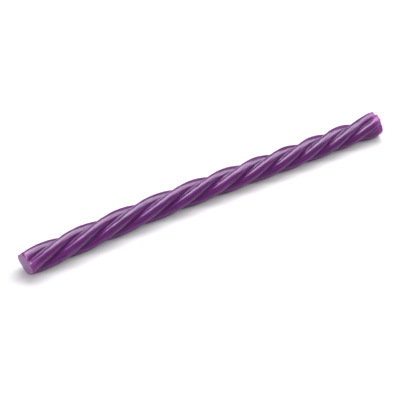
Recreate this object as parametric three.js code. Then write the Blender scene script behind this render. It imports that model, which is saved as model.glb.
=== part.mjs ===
// A grape candy rope: one stick of chewy candy, extruded as four round strands that are fused along the
// middle and twisted to the left. It lies on a table along X, with +Z up. Lengths are millimetres and
// angles are radians unless a name says otherwise. Both ends are cut: the left one by a clean press of the
// knife, the right one with its strands sprung apart.

import * as THREE from 'three';

// Driving dimensions of the stick

const LENGTH = 200;
const STRANDS = 4;
const CREST_RADIUS_LEFT = 6.27;
const CREST_RADIUS_RIGHT = 5.86;

// The section, in shares of the crest radius: each strand is a circle about its own centre, which lies
// this far off the axis, and a hollow arc of this radius joins it to the next strand in the groove.
const STRAND_OFFSET = 0.59;
const GROOVE_RADIUS = 0.08;

// How much thicker or thinner than the others each strand is
const STRAND_UNEVENNESS = [-0.002, 0.007, 0.003, -0.008];

// The twist: the turn from end to end, with a slow drift, given as half waves
const START_ANGLE = 1.567;
const TOTAL_TWIST = 17.085;
const TWIST_DRIFT = [0.797, -0.091, -0.057];

// The centre line bows sideways as the soft stick lies, given as half waves too
const BOW = [2.42, 0.805, -0.174, -0.153];

// Each crest that touches the table is pressed flat by this depth
const RESTING_FLAT = 0.25;

// Cutting presses the grooves part of the way towards a round outline of this share of the crest radius
const PRESSED_RADIUS = 0.92;

// Left end: a clean cut that closes the grooves part of the way, with a slightly slanted face
const LEFT_PRESS_LENGTH = 1.4;
const LEFT_PRESS_SHARE = 0.6;
const LEFT_UNTWIST_LENGTH = 20;
const LEFT_UNTWIST = -0.02;
const LEFT_SLANT_UP = -0.165;
const LEFT_SLANT_NEAR = 0.025;

// Right end: the strands spread, untwist, turn and swell by different amounts and stay grooved to the tips
const RIGHT_PRESS_LENGTH = 4.75;
const RIGHT_PRESS_SHARE = 0.5;
const FLARE_LENGTH = 12;
const FLARE = 1.07;
const RIGHT_UNTWIST = 0.14;
const TIP_TURN = [-0.5, 0.07, 0.35, 0.05];
const TIP_LENGTH = 5;
const TIP_SPREAD = [-0.39, 0.12, 0, 0.14];
const RIGHT_SLANT_UP = 0.013;
const RIGHT_SLANT_NEAR = -0.148;

// Towards the right end the groove after each strand fills up by this share, where strands stuck together
const FILL_LENGTH = 14;
const RIGHT_FILL = [0.4, 0, 0, 0.65];

// The edge where a cut face meets the sides is rounded over
const RIM_ROUNDING = 0.5;

// The mesh: rings along the stick, closer together near the ends, and points round each strand
const BODY_STEP = 2.5;
const END_STEP = 1.25;
const END_ZONE = 7.5;
const POINTS_PER_STRAND = 14;
const GROOVE_CROWDING = 0.3;
const RIM_STEPS = 2;
const FACE_RINGS = [0.66, 0.33];

const STRAND_ANGLE = (2 * Math.PI) / STRANDS;
const POINTS = STRANDS * POINTS_PER_STRAND;

// The groove's arc has its centre outside the stick. It touches the strand's circle on the line between
// their centres, at an angle from the strand's crest.
const STRAND_RADIUS = 1 - STRAND_OFFSET;
const GROOVE_CENTRE = arcDistance(STRAND_OFFSET, STRAND_RADIUS + GROOVE_RADIUS, STRAND_ANGLE / 2, 1);
const TOUCH_SHARE = STRAND_RADIUS / (STRAND_RADIUS + GROOVE_RADIUS);
const TOUCH_ACROSS = TOUCH_SHARE * GROOVE_CENTRE * Math.sin(STRAND_ANGLE / 2);
const TOUCH_ALONG = STRAND_OFFSET + TOUCH_SHARE * (GROOVE_CENTRE * Math.cos(STRAND_ANGLE / 2) - STRAND_OFFSET);
const TOUCH_ANGLE = Math.atan2(TOUCH_ACROSS, TOUCH_ALONG);

// The two directions across the stick that the cuts slant along: up and back, and up and near
const UP_BACK = new THREE.Vector2(1, 1).normalize();
const UP_NEAR = new THREE.Vector2(-1, 1).normalize();

function smoothStep(low, high, value) {
  const t = Math.min(Math.max((value - low) / (high - low), 0), 1);
  return t * t * (3 - 2 * t);
}

function halfWaves(heights, share) {
  return heights.reduce((sum, height, i) => sum + height * Math.sin((i + 1) * Math.PI * share), 0);
}

// Closeness to an end: 0 further away than the reach, rising smoothly to 1 at the end itself
function nearLeft(x, reach) {
  return 1 - smoothStep(-LENGTH / 2, -LENGTH / 2 + reach, x);
}

function nearRight(x, reach) {
  return smoothStep(LENGTH / 2 - reach, LENGTH / 2, x);
}

function shareAlong(x) {
  return x / LENGTH + 0.5;
}

function bodyRadius(x) {
  return THREE.MathUtils.lerp(CREST_RADIUS_LEFT, CREST_RADIUS_RIGHT, shareAlong(x));
}

function twistAngle(x) {
  const share = shareAlong(x);
  const drift = halfWaves(TWIST_DRIFT, share);
  const untwist = LEFT_UNTWIST * nearLeft(x, LEFT_UNTWIST_LENGTH) + RIGHT_UNTWIST * nearRight(x, FLARE_LENGTH);
  return START_ANGLE - TOTAL_TWIST * share + drift + untwist;
}

// Distance from the axis to a circle, at an angle from its centre's direction. The side is 1 for the
// circle's far side and -1 for its near side.
function arcDistance(centre, radius, angle, side) {
  const across = centre * Math.sin(angle);
  return centre * Math.cos(angle) + side * Math.sqrt(Math.max(radius ** 2 - across ** 2, 0));
}

// The section's distance from the axis at an angle from a strand's crest, which itself is at 1
function strandOutline(fromCrest) {
  if (Math.abs(fromCrest) < TOUCH_ANGLE) {
    return arcDistance(STRAND_OFFSET, STRAND_RADIUS, fromCrest, 1);
  }
  return arcDistance(GROOVE_CENTRE, GROOVE_RADIUS, STRAND_ANGLE / 2 - Math.abs(fromCrest), -1);
}

// A value that differs from strand to strand passes smoothly into the next strand's across the groove
function acrossStrands(values, strand, fromCrest) {
  const side = fromCrest < 0 ? STRANDS - 1 : 1;
  const neighbour = values[(strand + side) % STRANDS];
  return values[strand] * Math.cos(fromCrest) ** 2 + neighbour * Math.sin(fromCrest) ** 2;
}

function surfaceRadius(x, strand, fromCrest) {
  const crest = bodyRadius(x) + FLARE * nearRight(x, FLARE_LENGTH);
  const uneven = 1 + acrossStrands(STRAND_UNEVENNESS, strand, fromCrest);
  const spread = acrossStrands(TIP_SPREAD, strand, fromCrest) * nearRight(x, TIP_LENGTH);
  const pressedLeft = LEFT_PRESS_SHARE * nearLeft(x, LEFT_PRESS_LENGTH);
  const pressed = pressedLeft + RIGHT_PRESS_SHARE * nearRight(x, RIGHT_PRESS_LENGTH);
  const groove = (strand + (fromCrest < 0 ? STRANDS - 1 : 0)) % STRANDS;
  const filled = RIGHT_FILL[groove] * Math.sin(2 * fromCrest) ** 2 * nearRight(x, FILL_LENGTH);
  const rounded = pressed + (1 - pressed) * filled;
  const outline = THREE.MathUtils.lerp(strandOutline(fromCrest), PRESSED_RADIUS, rounded);
  return crest * uneven * outline + spread;
}

// How far a point moves along the stick because the cut at its end slants
function cutShift(x, across) {
  const leftSlant = LEFT_SLANT_UP * across.dot(UP_BACK) + LEFT_SLANT_NEAR * across.dot(UP_NEAR);
  const rightSlant = RIGHT_SLANT_UP * across.dot(UP_BACK) + RIGHT_SLANT_NEAR * across.dot(UP_NEAR);
  return leftSlant * nearLeft(x, END_ZONE) + rightSlant * nearRight(x, END_ZONE);
}

// A point of the section at x, at a share of the way from the axis to the surface less an inset
function sectionPoint(x, strand, fromCrest, share, inset, beyond) {
  const tipTurn = acrossStrands(TIP_TURN, strand, fromCrest) * nearRight(x, FLARE_LENGTH);
  const angle = twistAngle(x) + tipTurn + strand * STRAND_ANGLE + fromCrest;
  const radius = (surfaceRadius(x, strand, fromCrest) - inset) * share;
  const across = new THREE.Vector2(Math.cos(angle), Math.sin(angle)).multiplyScalar(radius);
  const along = x + beyond + cutShift(x, across);
  const height = across.y + bodyRadius(x) - RESTING_FLAT;
  return new THREE.Vector3(along, across.x + halfWaves(BOW, shareAlong(x)), Math.max(height, 0));
}

// Angles from the crest of the points round one strand, closer together towards the grooves
function anglesFromCrest() {
  const angles = [];
  for (let i = 0; i < POINTS_PER_STRAND; i += 1) {
    const step = (2 * i) / POINTS_PER_STRAND - 1;
    angles.push((STRAND_ANGLE / 2) * (step * (1 + GROOVE_CROWDING) - GROOVE_CROWDING * step ** 3));
  }
  return angles;
}

function ring(x, share, inset, beyond) {
  const points = [];
  for (let strand = 0; strand < STRANDS; strand += 1) {
    for (const fromCrest of anglesFromCrest()) {
      points.push(sectionPoint(x, strand, fromCrest, share, inset, beyond));
    }
  }
  return points;
}

// The rings of one cut face, from its rounded rim inwards. The outward way along X is -1 or 1.
function faceRings(end, outward) {
  const rings = [];
  for (let i = 1; i <= RIM_STEPS; i += 1) {
    const turn = (i / RIM_STEPS) * (Math.PI / 2);
    const inset = RIM_ROUNDING * (1 - Math.cos(turn));
    rings.push(ring(end, 1, inset, outward * RIM_ROUNDING * (Math.sin(turn) - 1)));
  }
  for (const share of FACE_RINGS) {
    rings.push(ring(end, share, RIM_ROUNDING, 0));
  }
  return rings;
}

function bodyPositions() {
  const left = -LENGTH / 2 + RIM_ROUNDING;
  const right = LENGTH / 2 - RIM_ROUNDING;
  const positions = [];
  for (let x = left; x < left + END_ZONE; x += END_STEP) {
    positions.push(x);
  }
  const middle = right - left - 2 * END_ZONE;
  const bodySteps = Math.round(middle / BODY_STEP);
  for (let i = 0; i < bodySteps; i += 1) {
    positions.push(left + END_ZONE + (i / bodySteps) * middle);
  }
  for (let x = right - END_ZONE; x <= right; x += END_STEP) {
    positions.push(x);
  }
  return positions;
}

function ropeGeometry() {
  const leftFace = faceRings(-LENGTH / 2, -1).reverse();
  const sides = bodyPositions().map((x) => ring(x, 1, 0, 0));
  const rightFace = faceRings(LENGTH / 2, 1);
  const rings = [...leftFace, ...sides, ...rightFace];
  const vertices = rings.flat();
  const leftCentre = vertices.push(sectionPoint(-LENGTH / 2, 0, 0, 0, 0, 0)) - 1;
  const rightCentre = vertices.push(sectionPoint(LENGTH / 2, 0, 0, 0, 0, 0)) - 1;

  const triangles = [];
  for (let i = 0; i < POINTS; i += 1) {
    const next = (i + 1) % POINTS;
    for (let row = 0; row + 1 < rings.length; row += 1) {
      const here = row * POINTS;
      const there = here + POINTS;
      triangles.push(here + i, here + next, there + i);
      triangles.push(here + next, there + next, there + i);
    }
    const last = (rings.length - 1) * POINTS;
    triangles.push(leftCentre, next, i);
    triangles.push(rightCentre, last + i, last + next);
  }

  const geometry = new THREE.BufferGeometry().setFromPoints(vertices);
  geometry.setIndex(triangles);
  geometry.computeVertexNormals();
  geometry.computeBoundingBox();
  return geometry;
}

function candyMaterial() {
  return new THREE.MeshStandardMaterial({ color: '#663c6f', roughness: 0.3, metalness: 0 });
}

// The origin is the middle of the stick's footprint, on the table
const candyRope = new THREE.Mesh(ropeGeometry(), candyMaterial());
const footprint = candyRope.geometry.boundingBox.getCenter(new THREE.Vector3());
candyRope.name = 'candy_rope';
candyRope.position.set(-footprint.x, -footprint.y, 0);

const stick = new THREE.Group();
stick.add(candyRope);

export default stick;
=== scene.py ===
"""The grape candy rope as it lies on a pale table: the candy, its material, the light and the camera.

Lengths are metres and angles are radians unless a name says otherwise. The stick lies along X.
"""

import math

import bpy
import numpy as np
from mathutils import Matrix, Vector


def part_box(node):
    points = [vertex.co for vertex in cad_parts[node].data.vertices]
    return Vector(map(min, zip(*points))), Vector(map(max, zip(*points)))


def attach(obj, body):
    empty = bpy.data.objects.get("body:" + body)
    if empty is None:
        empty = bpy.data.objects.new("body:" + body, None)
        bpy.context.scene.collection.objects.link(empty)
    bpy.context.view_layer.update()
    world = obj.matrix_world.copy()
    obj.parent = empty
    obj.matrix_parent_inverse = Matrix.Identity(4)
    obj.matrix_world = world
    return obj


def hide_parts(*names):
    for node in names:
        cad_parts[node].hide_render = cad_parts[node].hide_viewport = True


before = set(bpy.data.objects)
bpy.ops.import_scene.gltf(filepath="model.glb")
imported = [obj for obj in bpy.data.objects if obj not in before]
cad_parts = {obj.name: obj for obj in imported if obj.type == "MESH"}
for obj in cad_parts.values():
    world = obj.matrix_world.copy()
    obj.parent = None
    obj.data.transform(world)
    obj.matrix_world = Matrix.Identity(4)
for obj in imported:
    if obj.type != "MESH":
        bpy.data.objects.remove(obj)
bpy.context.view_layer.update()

NODE = "candy_rope"
MM = 0.001
SEED = 7

# The stick, as the model of its solid gives it, in millimetres
LENGTH = 200.0
STRANDS = 4
CREST_RADIUS_LEFT = 6.27
CREST_RADIUS_RIGHT = 5.86
STRAND_OFFSET = 0.59
GROOVE_RADIUS = 0.08
STRAND_UNEVENNESS = np.array([-0.002, 0.007, 0.003, -0.008])
START_ANGLE = 1.567
TOTAL_TWIST = 17.085
TWIST_DRIFT = (0.797, -0.091, -0.057)
BOW = (2.42, 0.805, -0.174, -0.153)
RESTING_FLAT = 0.25
PRESSED_RADIUS = 0.92
LEFT_PRESS_LENGTH = 1.4
LEFT_PRESS_SHARE = 0.6
LEFT_UNTWIST_LENGTH = 20.0
LEFT_UNTWIST = -0.02
LEFT_SLANT_UP = -0.165
LEFT_SLANT_NEAR = 0.025
RIGHT_PRESS_LENGTH = 4.75
RIGHT_PRESS_SHARE = 0.5
FLARE_LENGTH = 12.0
FLARE = 1.07
RIGHT_UNTWIST = 0.14
TIP_TURN = np.array([-0.5, 0.07, 0.35, 0.05])
TIP_LENGTH = 5.0
TIP_SPREAD = np.array([-0.39, 0.12, 0.0, 0.14])
RIGHT_SLANT_UP = 0.013
RIGHT_SLANT_NEAR = -0.148
FILL_LENGTH = 14.0
RIGHT_FILL = np.array([0.4, 0.0, 0.0, 0.65])
RIM_ROUNDING = 0.5
END_ZONE = 7.5
STRAND_ANGLE = 2 * math.pi / STRANDS

# Small unevenness of the soft surface, in millimetres. The ranges are shares of the size before them.
WAVES = 12
WAVE_HEIGHT = 0.022
NOZZLE_LINES = 36
NOZZLE_LINE_HEIGHT = 0.012
DIMPLES = 26
DIMPLE_SIZE = 0.7
DIMPLE_SIZE_RANGE = (0.6, 1.6)
DIMPLE_DEPTH = 0.09
DIMPLE_DEPTH_RANGE = (0.3, 1)
DIMPLE_STRETCH = 2
RAGGED_CUT = 0.07
CUT_DOME = 0.25
DOME_LENGTH = 1

# Colours of the candy, as linear shares of the light it sends back
CANDY_LIGHT = (0.079, 0.008, 0.095, 1)
CANDY_DARK = (0.056, 0.0054, 0.07, 1)
CANDY_RED = (0.084, 0.006, 0.084, 1)
CUT_COLOUR = (0.155, 0.065, 0.17, 1)
# The tip colour is a painted glow: paler magenta standing in for light shining through the thin tips
TIP_PAINTED_GLOW_COLOUR = (0.21, 0.042, 0.2, 1)
CLOUD_SHARE = 0.5
TIP_PAINTED_GLOW_SHARE = 0.75
CUT_COLOUR_SHARE = 0.9

# The tips take a painted glow, a paler colour standing in for light shining through the thin candy, over
# this length, in millimetres, and the left end has this share of it
GLOW_AND_ROUGH_TIP_LENGTH = 7.0
LEFT_PAINTED_GLOW = 0.5

# Marks in the material: how many there are in a metre, how many times longer they are along the stick, and
# how much fine detail they have. Streaks and clouds change the colour, and threads change the gloss.
STREAKS = {"scale": 700, "stretch": 16}
THREADS = {"scale": 2600, "stretch": 30}
CLOUDS = {"scale": 130, "stretch": 2, "detail": 2}
GRAINS = {"scale": 3500, "stretch": 1, "detail": 4}
KNIFE_MARKS = {"scale": 900, "stretch": 0.2}

# The noise between these two values passes from none of a mark to all of it
STREAK_EDGES = (0.35, 0.65)
CLOUD_EDGES = (0.4, 0.7)
THREAD_EDGES = (0.3, 0.7)

# Roughness of the candy between and on its threads, and what the cuts and the outer half of the tips add
THREAD_ROUGHNESS = (0.17, 0.27)
CUT_ROUGHNESS = 0.22
TIP_ROUGHNESS = 0.2
ROUGH_TIP_EDGES = (0.5, 1)

# Heights of the marks as shares of the threads' height, which is in metres
BUMP_DEPTH = 0.00003
BUMP_STRENGTH = 0.6
GRAIN_HEIGHT = 0.35
KNIFE_MARK_HEIGHT = 1.5

# Light in the candy: how it bends, the tint of the gloss, and how far red, green and blue light travel in
# it, as shares of the reach, which is in metres
CANDY_IOR = 1.5
GLOSS_TINT = (0.93, 0.85, 1, 1)
SCATTER_SHARE = 1.0
SCATTER_REACH = 0.0012
SCATTER_COLOURS = (1.0, 0.2, 0.45)

# The table, in metres
TABLE_HALF_WIDTH = 2.0
TABLE_COLOUR = (0.485, 0.481, 0.489, 1)
TABLE_ROUGHNESS = 0.9

# Names of the mesh's values: the place before the twist, how much a point is cut, and how much it is thin
# tip, which takes the painted glow and more roughness
STRAIGHT = "straight_place"
CUT = "cut_share"
PAINTED_GLOW_AND_ROUGH_TIP = "painted_glow_and_rough_tip_share"

# The fine mesh
BODY_STEP = 0.42
POINTS_PER_STRAND = 44
GROOVE_CROWDING = 0.2
RIM_STEPS = 6
FACE_RINGS = (0.94, 0.86, 0.76, 0.64, 0.5, 0.36, 0.22, 0.1)

# Places of the mix node's sockets for colours
MIX_SHARE_INPUT = 0
MIX_FIRST_INPUT = 6
MIX_SECOND_INPUT = 7
MIX_COLOUR_OUTPUT = 2


def smooth_step(low, high, value):
    t = np.clip((value - low) / (high - low), 0, 1)
    return t * t * (3 - 2 * t)


def half_waves(heights, share):
    return sum(h * np.sin((i + 1) * math.pi * share) for i, h in enumerate(heights))


def near_left(x, reach):
    return 1 - smooth_step(-LENGTH / 2, -LENGTH / 2 + reach, x)


def near_right(x, reach):
    return smooth_step(LENGTH / 2 - reach, LENGTH / 2, x)


def share_along(x):
    return x / LENGTH + 0.5


def body_radius(x):
    return CREST_RADIUS_LEFT + (CREST_RADIUS_RIGHT - CREST_RADIUS_LEFT) * share_along(x)


def twist_angle(x):
    share = share_along(x)
    drift = half_waves(TWIST_DRIFT, share)
    untwist_left = LEFT_UNTWIST * near_left(x, LEFT_UNTWIST_LENGTH)
    untwist = untwist_left + RIGHT_UNTWIST * near_right(x, FLARE_LENGTH)
    return START_ANGLE - TOTAL_TWIST * share + drift + untwist


def arc_radius(centre, radius, angle, side):
    """Distance from the axis to a circle, at an angle from the circle's centre, on its far or near side."""
    across = centre * np.sin(angle)
    return centre * np.cos(angle) + side * np.sqrt(np.maximum(radius**2 - across**2, 0))


def strand_outline(from_crest):
    """Round strands with a concave arc in each groove, as a share of the crest radius."""
    half = STRAND_ANGLE / 2
    strand_radius = 1 - STRAND_OFFSET
    groove_centre = arc_radius(STRAND_OFFSET, strand_radius + GROOVE_RADIUS, half, 1)
    share = strand_radius / (strand_radius + GROOVE_RADIUS)
    meet_along = STRAND_OFFSET + share * (groove_centre * math.cos(half) - STRAND_OFFSET)
    meet = math.atan2(share * groove_centre * math.sin(half), meet_along)
    strand_arc = arc_radius(STRAND_OFFSET, strand_radius, from_crest, 1)
    groove_arc = arc_radius(groove_centre, GROOVE_RADIUS, half - np.abs(from_crest), -1)
    return np.where(np.abs(from_crest) < meet, strand_arc, groove_arc)


def across_strands(values, strand, from_crest):
    side = np.where(from_crest < 0, STRANDS - 1, 1)
    neighbour = values[(strand + side) % STRANDS]
    return values[strand] * np.cos(from_crest) ** 2 + neighbour * np.sin(from_crest) ** 2


def surface_radius(x, strand, from_crest):
    crest = body_radius(x) + FLARE * near_right(x, FLARE_LENGTH)
    uneven = 1 + across_strands(STRAND_UNEVENNESS, strand, from_crest)
    spread = across_strands(TIP_SPREAD, strand, from_crest) * near_right(x, TIP_LENGTH)
    pressed_left = LEFT_PRESS_SHARE * near_left(x, LEFT_PRESS_LENGTH)
    pressed = pressed_left + RIGHT_PRESS_SHARE * near_right(x, RIGHT_PRESS_LENGTH)
    groove = (strand + np.where(from_crest < 0, STRANDS - 1, 0)) % STRANDS
    filled = RIGHT_FILL[groove] * np.sin(2 * from_crest) ** 2 * near_right(x, FILL_LENGTH)
    pressed = pressed + (1 - pressed) * filled
    outline = strand_outline(from_crest) * (1 - pressed) + PRESSED_RADIUS * pressed
    return crest * uneven * outline + spread


def cut_shift(x, across_y, across_z):
    up = (across_y + across_z) / math.sqrt(2)
    near = (across_z - across_y) / math.sqrt(2)
    left_slant = LEFT_SLANT_UP * up + LEFT_SLANT_NEAR * near
    right_slant = RIGHT_SLANT_UP * up + RIGHT_SLANT_NEAR * near
    return left_slant * near_left(x, END_ZONE) + right_slant * near_right(x, END_ZONE)


def wave_field(seed, count, shortest, longest, most_turns):
    """A gentle random height, as a function of the place along the stick and the angle round it."""
    random = np.random.default_rng(seed)
    lengths = random.uniform(shortest, longest, count)
    turns = random.integers(1, most_turns + 1, count)
    phases = random.uniform(0, 2 * math.pi, (count, 2))

    def height(x, round_angle):
        total = 0
        for wave_length, turn, (phase_along, phase_round) in zip(lengths, turns, phases):
            along = np.sin(2 * math.pi * x / wave_length + phase_along)
            total = total + along * np.cos(turn * round_angle + phase_round)
        return total

    return height


surface_waves = wave_field(SEED, WAVES, shortest=7, longest=32, most_turns=9)
line_strength = wave_field(SEED + 1, count=3, shortest=20, longest=60, most_turns=4)
cut_waves = wave_field(SEED + 2, count=5, shortest=60, longest=90, most_turns=13)


def dimples(x, round_angle):
    random = np.random.default_rng(SEED + 3)
    depth = np.zeros_like(round_angle)
    for _ in range(DIMPLES):
        centre_x = random.uniform(-LENGTH / 2, LENGTH / 2)
        centre_angle = random.uniform(0, 2 * math.pi)
        size = DIMPLE_SIZE * random.uniform(*DIMPLE_SIZE_RANGE)
        turned = (round_angle - centre_angle + math.pi) % (2 * math.pi) - math.pi
        along = (x - centre_x) / (DIMPLE_STRETCH * size)
        across = CREST_RADIUS_RIGHT * turned / size
        depth += DIMPLE_DEPTH * random.uniform(*DIMPLE_DEPTH_RANGE) * np.exp(-(along**2) - across**2)
    return depth


def relief(x, round_angle):
    """Height of the fine unevenness: soft waves, lines left by the nozzle along the strands, small dents."""
    lines = NOZZLE_LINE_HEIGHT * np.sin(NOZZLE_LINES * round_angle) * line_strength(x, round_angle)
    return WAVE_HEIGHT * surface_waves(x, round_angle) + lines - dimples(x, round_angle)


def section_points(x, share, inset, beyond):
    """One ring of points at x, and the same points in the stick before its twist, in millimetres."""
    step = np.tile(2 * np.arange(POINTS_PER_STRAND) / POINTS_PER_STRAND - 1, STRANDS)
    strand = np.repeat(np.arange(STRANDS), POINTS_PER_STRAND)
    from_crest = STRAND_ANGLE / 2 * (step * (1 + GROOVE_CROWDING) - GROOVE_CROWDING * step**3)
    tip_turn = across_strands(TIP_TURN, strand, from_crest) * near_right(x, FLARE_LENGTH)
    round_angle = strand * STRAND_ANGLE + from_crest
    angle = twist_angle(x) + tip_turn + round_angle
    radius = (surface_radius(x, strand, from_crest) + relief(x, round_angle) - inset) * share
    across_y, across_z = radius * np.cos(angle), radius * np.sin(angle)
    ragged = RAGGED_CUT * cut_waves(x, round_angle) * share**2 * near_right(x, END_ZONE)
    dome = CUT_DOME * (1 - share**2) * (near_right(x, DOME_LENGTH) - near_left(x, DOME_LENGTH))
    along = x + beyond + ragged + dome + cut_shift(x, across_y, across_z)
    height = np.maximum(across_z + body_radius(x) - RESTING_FLAT, 0)
    placed = np.stack([along, across_y + half_waves(BOW, share_along(x)), height], axis=-1)
    straight_y, straight_z = radius * np.cos(round_angle), radius * np.sin(round_angle)
    straight = np.stack([np.full_like(radius, x), straight_y, straight_z], axis=-1)
    return np.concatenate([placed, straight], axis=-1)


def face_rings(end, outward):
    rings = []
    for i in range(1, RIM_STEPS + 1):
        turn = i / RIM_STEPS * math.pi / 2
        inset = RIM_ROUNDING * (1 - math.cos(turn))
        rings.append(section_points(end, 1, inset, outward * RIM_ROUNDING * (math.sin(turn) - 1)))
    for share in FACE_RINGS:
        rings.append(section_points(end, share, RIM_ROUNDING, 0))
    return rings


def rope_piece():
    left, right = -LENGTH / 2 + RIM_ROUNDING, LENGTH / 2 - RIM_ROUNDING
    sides = [section_points(x, 1, 0, 0) for x in np.linspace(left, right, round((right - left) / BODY_STEP))]
    left_face, right_face = face_rings(-LENGTH / 2, -1)[::-1], face_rings(LENGTH / 2, 1)
    rings = left_face + sides + right_face
    count = STRANDS * POINTS_PER_STRAND
    centres = [section_points(end, 0, 0, 0)[:1] for end in (-LENGTH / 2, LENGTH / 2)]
    points = np.concatenate(rings + centres)
    left_centre, right_centre = len(points) - 2, len(points) - 1

    faces = []
    for row in range(len(rings) - 1):
        here, there = row * count, (row + 1) * count
        for i in range(count):
            following = (i + 1) % count
            faces.append((here + i, here + following, there + following, there + i))
    last = (len(rings) - 1) * count
    for i in range(count):
        following = (i + 1) % count
        faces.append((left_centre, following, i))
        faces.append((right_centre, last + i, last + following))

    placed, straight = points[:, :3] * MM, points[:, 3:] * MM
    box_low, box_high = (np.array(corner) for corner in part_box(NODE))
    middle = (box_low + box_high) / 2 - (placed.min(axis=0) + placed.max(axis=0)) / 2
    placed[:, :2] += middle[:2]

    mesh = bpy.data.meshes.new("rope_surface")
    mesh.from_pydata(placed.tolist(), [], faces)
    mesh.polygons.foreach_set("use_smooth", [True] * len(mesh.polygons))
    mesh.update()
    mesh.attributes.new(STRAIGHT, "FLOAT_VECTOR", "POINT").data.foreach_set("vector", straight.ravel())
    cut_rows = len(left_face) - RIM_STEPS // 2
    cut = np.zeros(len(points))
    cut[: cut_rows * count] = 1
    cut[-cut_rows * count - 2 :] = 1
    mesh.attributes.new(CUT, "FLOAT", "POINT").data.foreach_set("value", cut)
    straight_x = points[:, 3]
    # Share of painted glow at the thin tips, standing in for light shining through them; its outer half also
    # makes them rougher
    painted_glow_and_rough_tip = near_right(straight_x, GLOW_AND_ROUGH_TIP_LENGTH) + LEFT_PAINTED_GLOW * near_left(straight_x, GLOW_AND_ROUGH_TIP_LENGTH)
    mesh.attributes.new(PAINTED_GLOW_AND_ROUGH_TIP, "FLOAT", "POINT").data.foreach_set("value", painted_glow_and_rough_tip)
    piece = bpy.data.objects.new("rope_surface", mesh)
    bpy.context.collection.objects.link(piece)
    return piece


class Nodes:
    """Adds shader nodes to a material and joins them up."""

    def __init__(self, material):
        material.use_nodes = True
        self.tree = material.node_tree
        self.shader = self.tree.nodes["Principled BSDF"]

    def add(self, kind, settings=None, **sockets):
        node = self.tree.nodes.new("ShaderNode" + kind)
        for name, value in (settings or {}).items():
            setattr(node, name, value)
        for name, value in sockets.items():
            self.put(node, name.replace("_", " "), value)
        return node

    def put(self, node, name, value):
        if isinstance(value, bpy.types.NodeSocket):
            self.tree.links.new(value, node.inputs[name])
        else:
            node.inputs[name].default_value = value

    def noise(self, place, scale, stretch, detail=3):
        """Noise between 0 and 1. Stretch is how many times longer its blots are along the stick."""
        shrunk = self.add("Mapping", Vector=place, Scale=(1 / stretch, 1, 1))
        node = self.add("TexNoise", Vector=shrunk.outputs["Vector"], Scale=scale, Detail=detail)
        return node.outputs["Fac"]

    def ramp(self, value, edges, result):
        """Passes from the first to the second of two results as the value passes between two edges."""
        node = self.add("MapRange", Value=value)
        for name, number in zip(("From Min", "From Max", "To Min", "To Max"), (*edges, *result)):
            self.put(node, name, number)
        return node.outputs["Result"]

    def mix(self, share, first, second):
        node = self.add("Mix", {"data_type": "RGBA"})
        self.put(node, MIX_SHARE_INPUT, share)
        self.put(node, MIX_FIRST_INPUT, first)
        self.put(node, MIX_SECOND_INPUT, second)
        return node.outputs[MIX_COLOUR_OUTPUT]

    def sum(self, first, second, factor):
        """First plus second times a factor."""
        node = self.add("Math", {"operation": "MULTIPLY_ADD"})
        for index, value in enumerate((second, factor, first)):
            self.put(node, index, value)
        return node.outputs[0]

    def attribute(self, name, output):
        return self.add("Attribute", {"attribute_name": name}).outputs[output]


def candy_material():
    """Translucent purple candy with streaks along its strands, paler at the cuts, with a painted glow at the
    thin tips standing in for light shining through them.
    """
    material = bpy.data.materials.new("grape_candy")
    nodes = Nodes(material)
    straight = nodes.attribute(STRAIGHT, "Vector")
    cut = nodes.attribute(CUT, "Fac")
    painted_glow_and_rough_tip = nodes.attribute(PAINTED_GLOW_AND_ROUGH_TIP, "Fac")
    streaks = nodes.noise(straight, **STREAKS)
    threads = nodes.noise(straight, **THREADS)
    clouds = nodes.noise(straight, **CLOUDS)
    grain = nodes.noise(straight, **GRAINS)
    knife_marks = nodes.noise(straight, **KNIFE_MARKS)

    streaky = nodes.mix(nodes.ramp(streaks, STREAK_EDGES, (0, 1)), CANDY_DARK, CANDY_LIGHT)
    cloudy = nodes.mix(nodes.ramp(clouds, CLOUD_EDGES, (0, CLOUD_SHARE)), streaky, CANDY_RED)
    # Painted glow: the tips are mixed towards a paler magenta that stands in for light shining through them
    with_painted_glow_tip = nodes.mix(nodes.sum(0.0, painted_glow_and_rough_tip, TIP_PAINTED_GLOW_SHARE), cloudy, TIP_PAINTED_GLOW_COLOUR)
    with_cut = nodes.mix(nodes.sum(0.0, cut, CUT_COLOUR_SHARE), with_painted_glow_tip, CUT_COLOUR)
    nodes.put(nodes.shader, "Base Color", with_cut)

    roughness = nodes.sum(nodes.ramp(threads, THREAD_EDGES, THREAD_ROUGHNESS), cut, CUT_ROUGHNESS)
    roughness = nodes.sum(roughness, nodes.ramp(painted_glow_and_rough_tip, ROUGH_TIP_EDGES, (0, TIP_ROUGHNESS)), 1.0)
    nodes.put(nodes.shader, "Roughness", roughness)
    height = nodes.sum(threads, grain, GRAIN_HEIGHT)
    height = nodes.sum(height, knife_marks, nodes.sum(0.0, cut, KNIFE_MARK_HEIGHT))
    bump = nodes.add("Bump", Height=height, Distance=BUMP_DEPTH, Strength=BUMP_STRENGTH)
    nodes.put(nodes.shader, "Normal", bump.outputs["Normal"])

    nodes.put(nodes.shader, "IOR", CANDY_IOR)
    nodes.put(nodes.shader, "Specular Tint", GLOSS_TINT)
    nodes.put(nodes.shader, "Subsurface Weight", SCATTER_SHARE)
    nodes.put(nodes.shader, "Subsurface Scale", SCATTER_REACH)
    nodes.put(nodes.shader, "Subsurface Radius", SCATTER_COLOURS)
    return material


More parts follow.
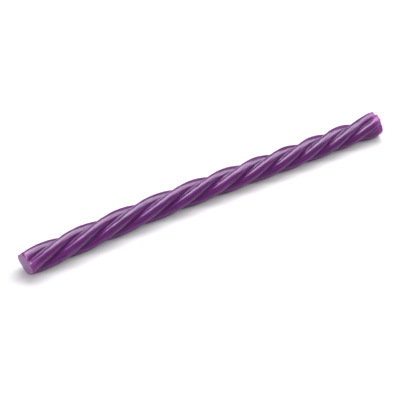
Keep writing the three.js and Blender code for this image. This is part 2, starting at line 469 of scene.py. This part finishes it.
def floor():
    mesh = bpy.data.meshes.new("table_top")
    sides = ((-1, -1), (1, -1), (1, 1), (-1, 1))
    corners = [(x * TABLE_HALF_WIDTH, y * TABLE_HALF_WIDTH, 0) for x, y in sides]
    mesh.from_pydata(corners, [], [(0, 1, 2, 3)])
    top = bpy.data.objects.new("table_top", mesh)
    bpy.context.collection.objects.link(top)
    material = bpy.data.materials.new("table_white")
    material.use_nodes = True
    shader = material.node_tree.nodes["Principled BSDF"]
    shader.inputs["Base Color"].default_value = TABLE_COLOUR
    shader.inputs["Roughness"].default_value = TABLE_ROUGHNESS
    mesh.materials.append(material)


# Light: a long soft box above and behind, one low on the right, one by the camera, and a faint surround.
# Directions are in the camera's level frame, and lengths are metres.
BACK_BOX = {"right": 0.1, "away": 0.46, "up": 0.885, "length": 1.35, "width": 0.84, "radiance": 8.6}
RIGHT_BOX = {"right": 0.83, "away": 0.27, "up": 0.48, "length": 0.6, "width": 0.75, "radiance": 7.3}
FRONT_BOX = {"right": -0.38, "away": -0.74, "up": 0.38, "length": 0.8, "width": 0.7, "radiance": 8.5}
BOX_DISTANCE = 1.2
SURROUND = 0.4
SURROUND_COLOUR = (0.96, 0.91, 1, 1)
VIEW_TURN = math.radians(32.09)
RIGHT = Vector((math.cos(VIEW_TURN), -math.sin(VIEW_TURN), 0))
AWAY = Vector((math.sin(VIEW_TURN), math.cos(VIEW_TURN), 0))
UP = Vector((0, 0, 1))


def soft_box(name, right, away, up, length, width, radiance):
    lamp = bpy.data.lights.new(name, "AREA")
    lamp.shape = "RECTANGLE"
    lamp.size = length
    lamp.size_y = width
    lamp.energy = radiance * math.pi * length * width
    light = bpy.data.objects.new(name, lamp)
    bpy.context.collection.objects.link(light)
    towards = (right * RIGHT + away * AWAY + up * UP).normalized()
    along = UP.cross(towards).normalized()
    facing = Matrix((along, towards.cross(along), towards)).transposed().to_4x4()
    light.matrix_world = Matrix.Translation(towards * BOX_DISTANCE) @ facing


def surround():
    world = bpy.data.worlds.new("surround")
    bpy.context.scene.world = world
    world.use_nodes = True
    background = world.node_tree.nodes["Background"]
    background.inputs["Color"].default_value = SURROUND_COLOUR
    background.inputs["Strength"].default_value = SURROUND


# Camera: the photograph's viewing angle
VIEW_ELEVATION = math.radians(40)
VIEW_DISTANCE = 0.7
FOCAL_LENGTH_MM = 130.25
SENSOR_WIDTH_MM = 36
NEAREST_SEEN = 0.01
AIM = Vector((-0.0049, 0.00106, 0))


def photo_camera():
    forward = AWAY * math.cos(VIEW_ELEVATION) - UP * math.sin(VIEW_ELEVATION)
    camera = bpy.data.cameras.new("photo_camera")
    camera.sensor_width = SENSOR_WIDTH_MM
    camera.lens = FOCAL_LENGTH_MM
    camera.clip_start = NEAREST_SEEN
    holder = bpy.data.objects.new("photo_camera", camera)
    bpy.context.collection.objects.link(holder)
    facing = Matrix((RIGHT, RIGHT.cross(forward), -forward)).transposed().to_4x4()
    holder.matrix_world = Matrix.Translation(AIM - forward * VIEW_DISTANCE) @ facing
    bpy.context.scene.camera = holder


rope = rope_piece()
rope.data.materials.append(candy_material())
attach(rope, "root")
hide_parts(NODE)

floor()
soft_box("back_box", **BACK_BOX)
soft_box("right_box", **RIGHT_BOX)
soft_box("front_box", **FRONT_BOX)
surround()
photo_camera()

scene = bpy.context.scene
scene.view_settings.view_transform = "Standard"
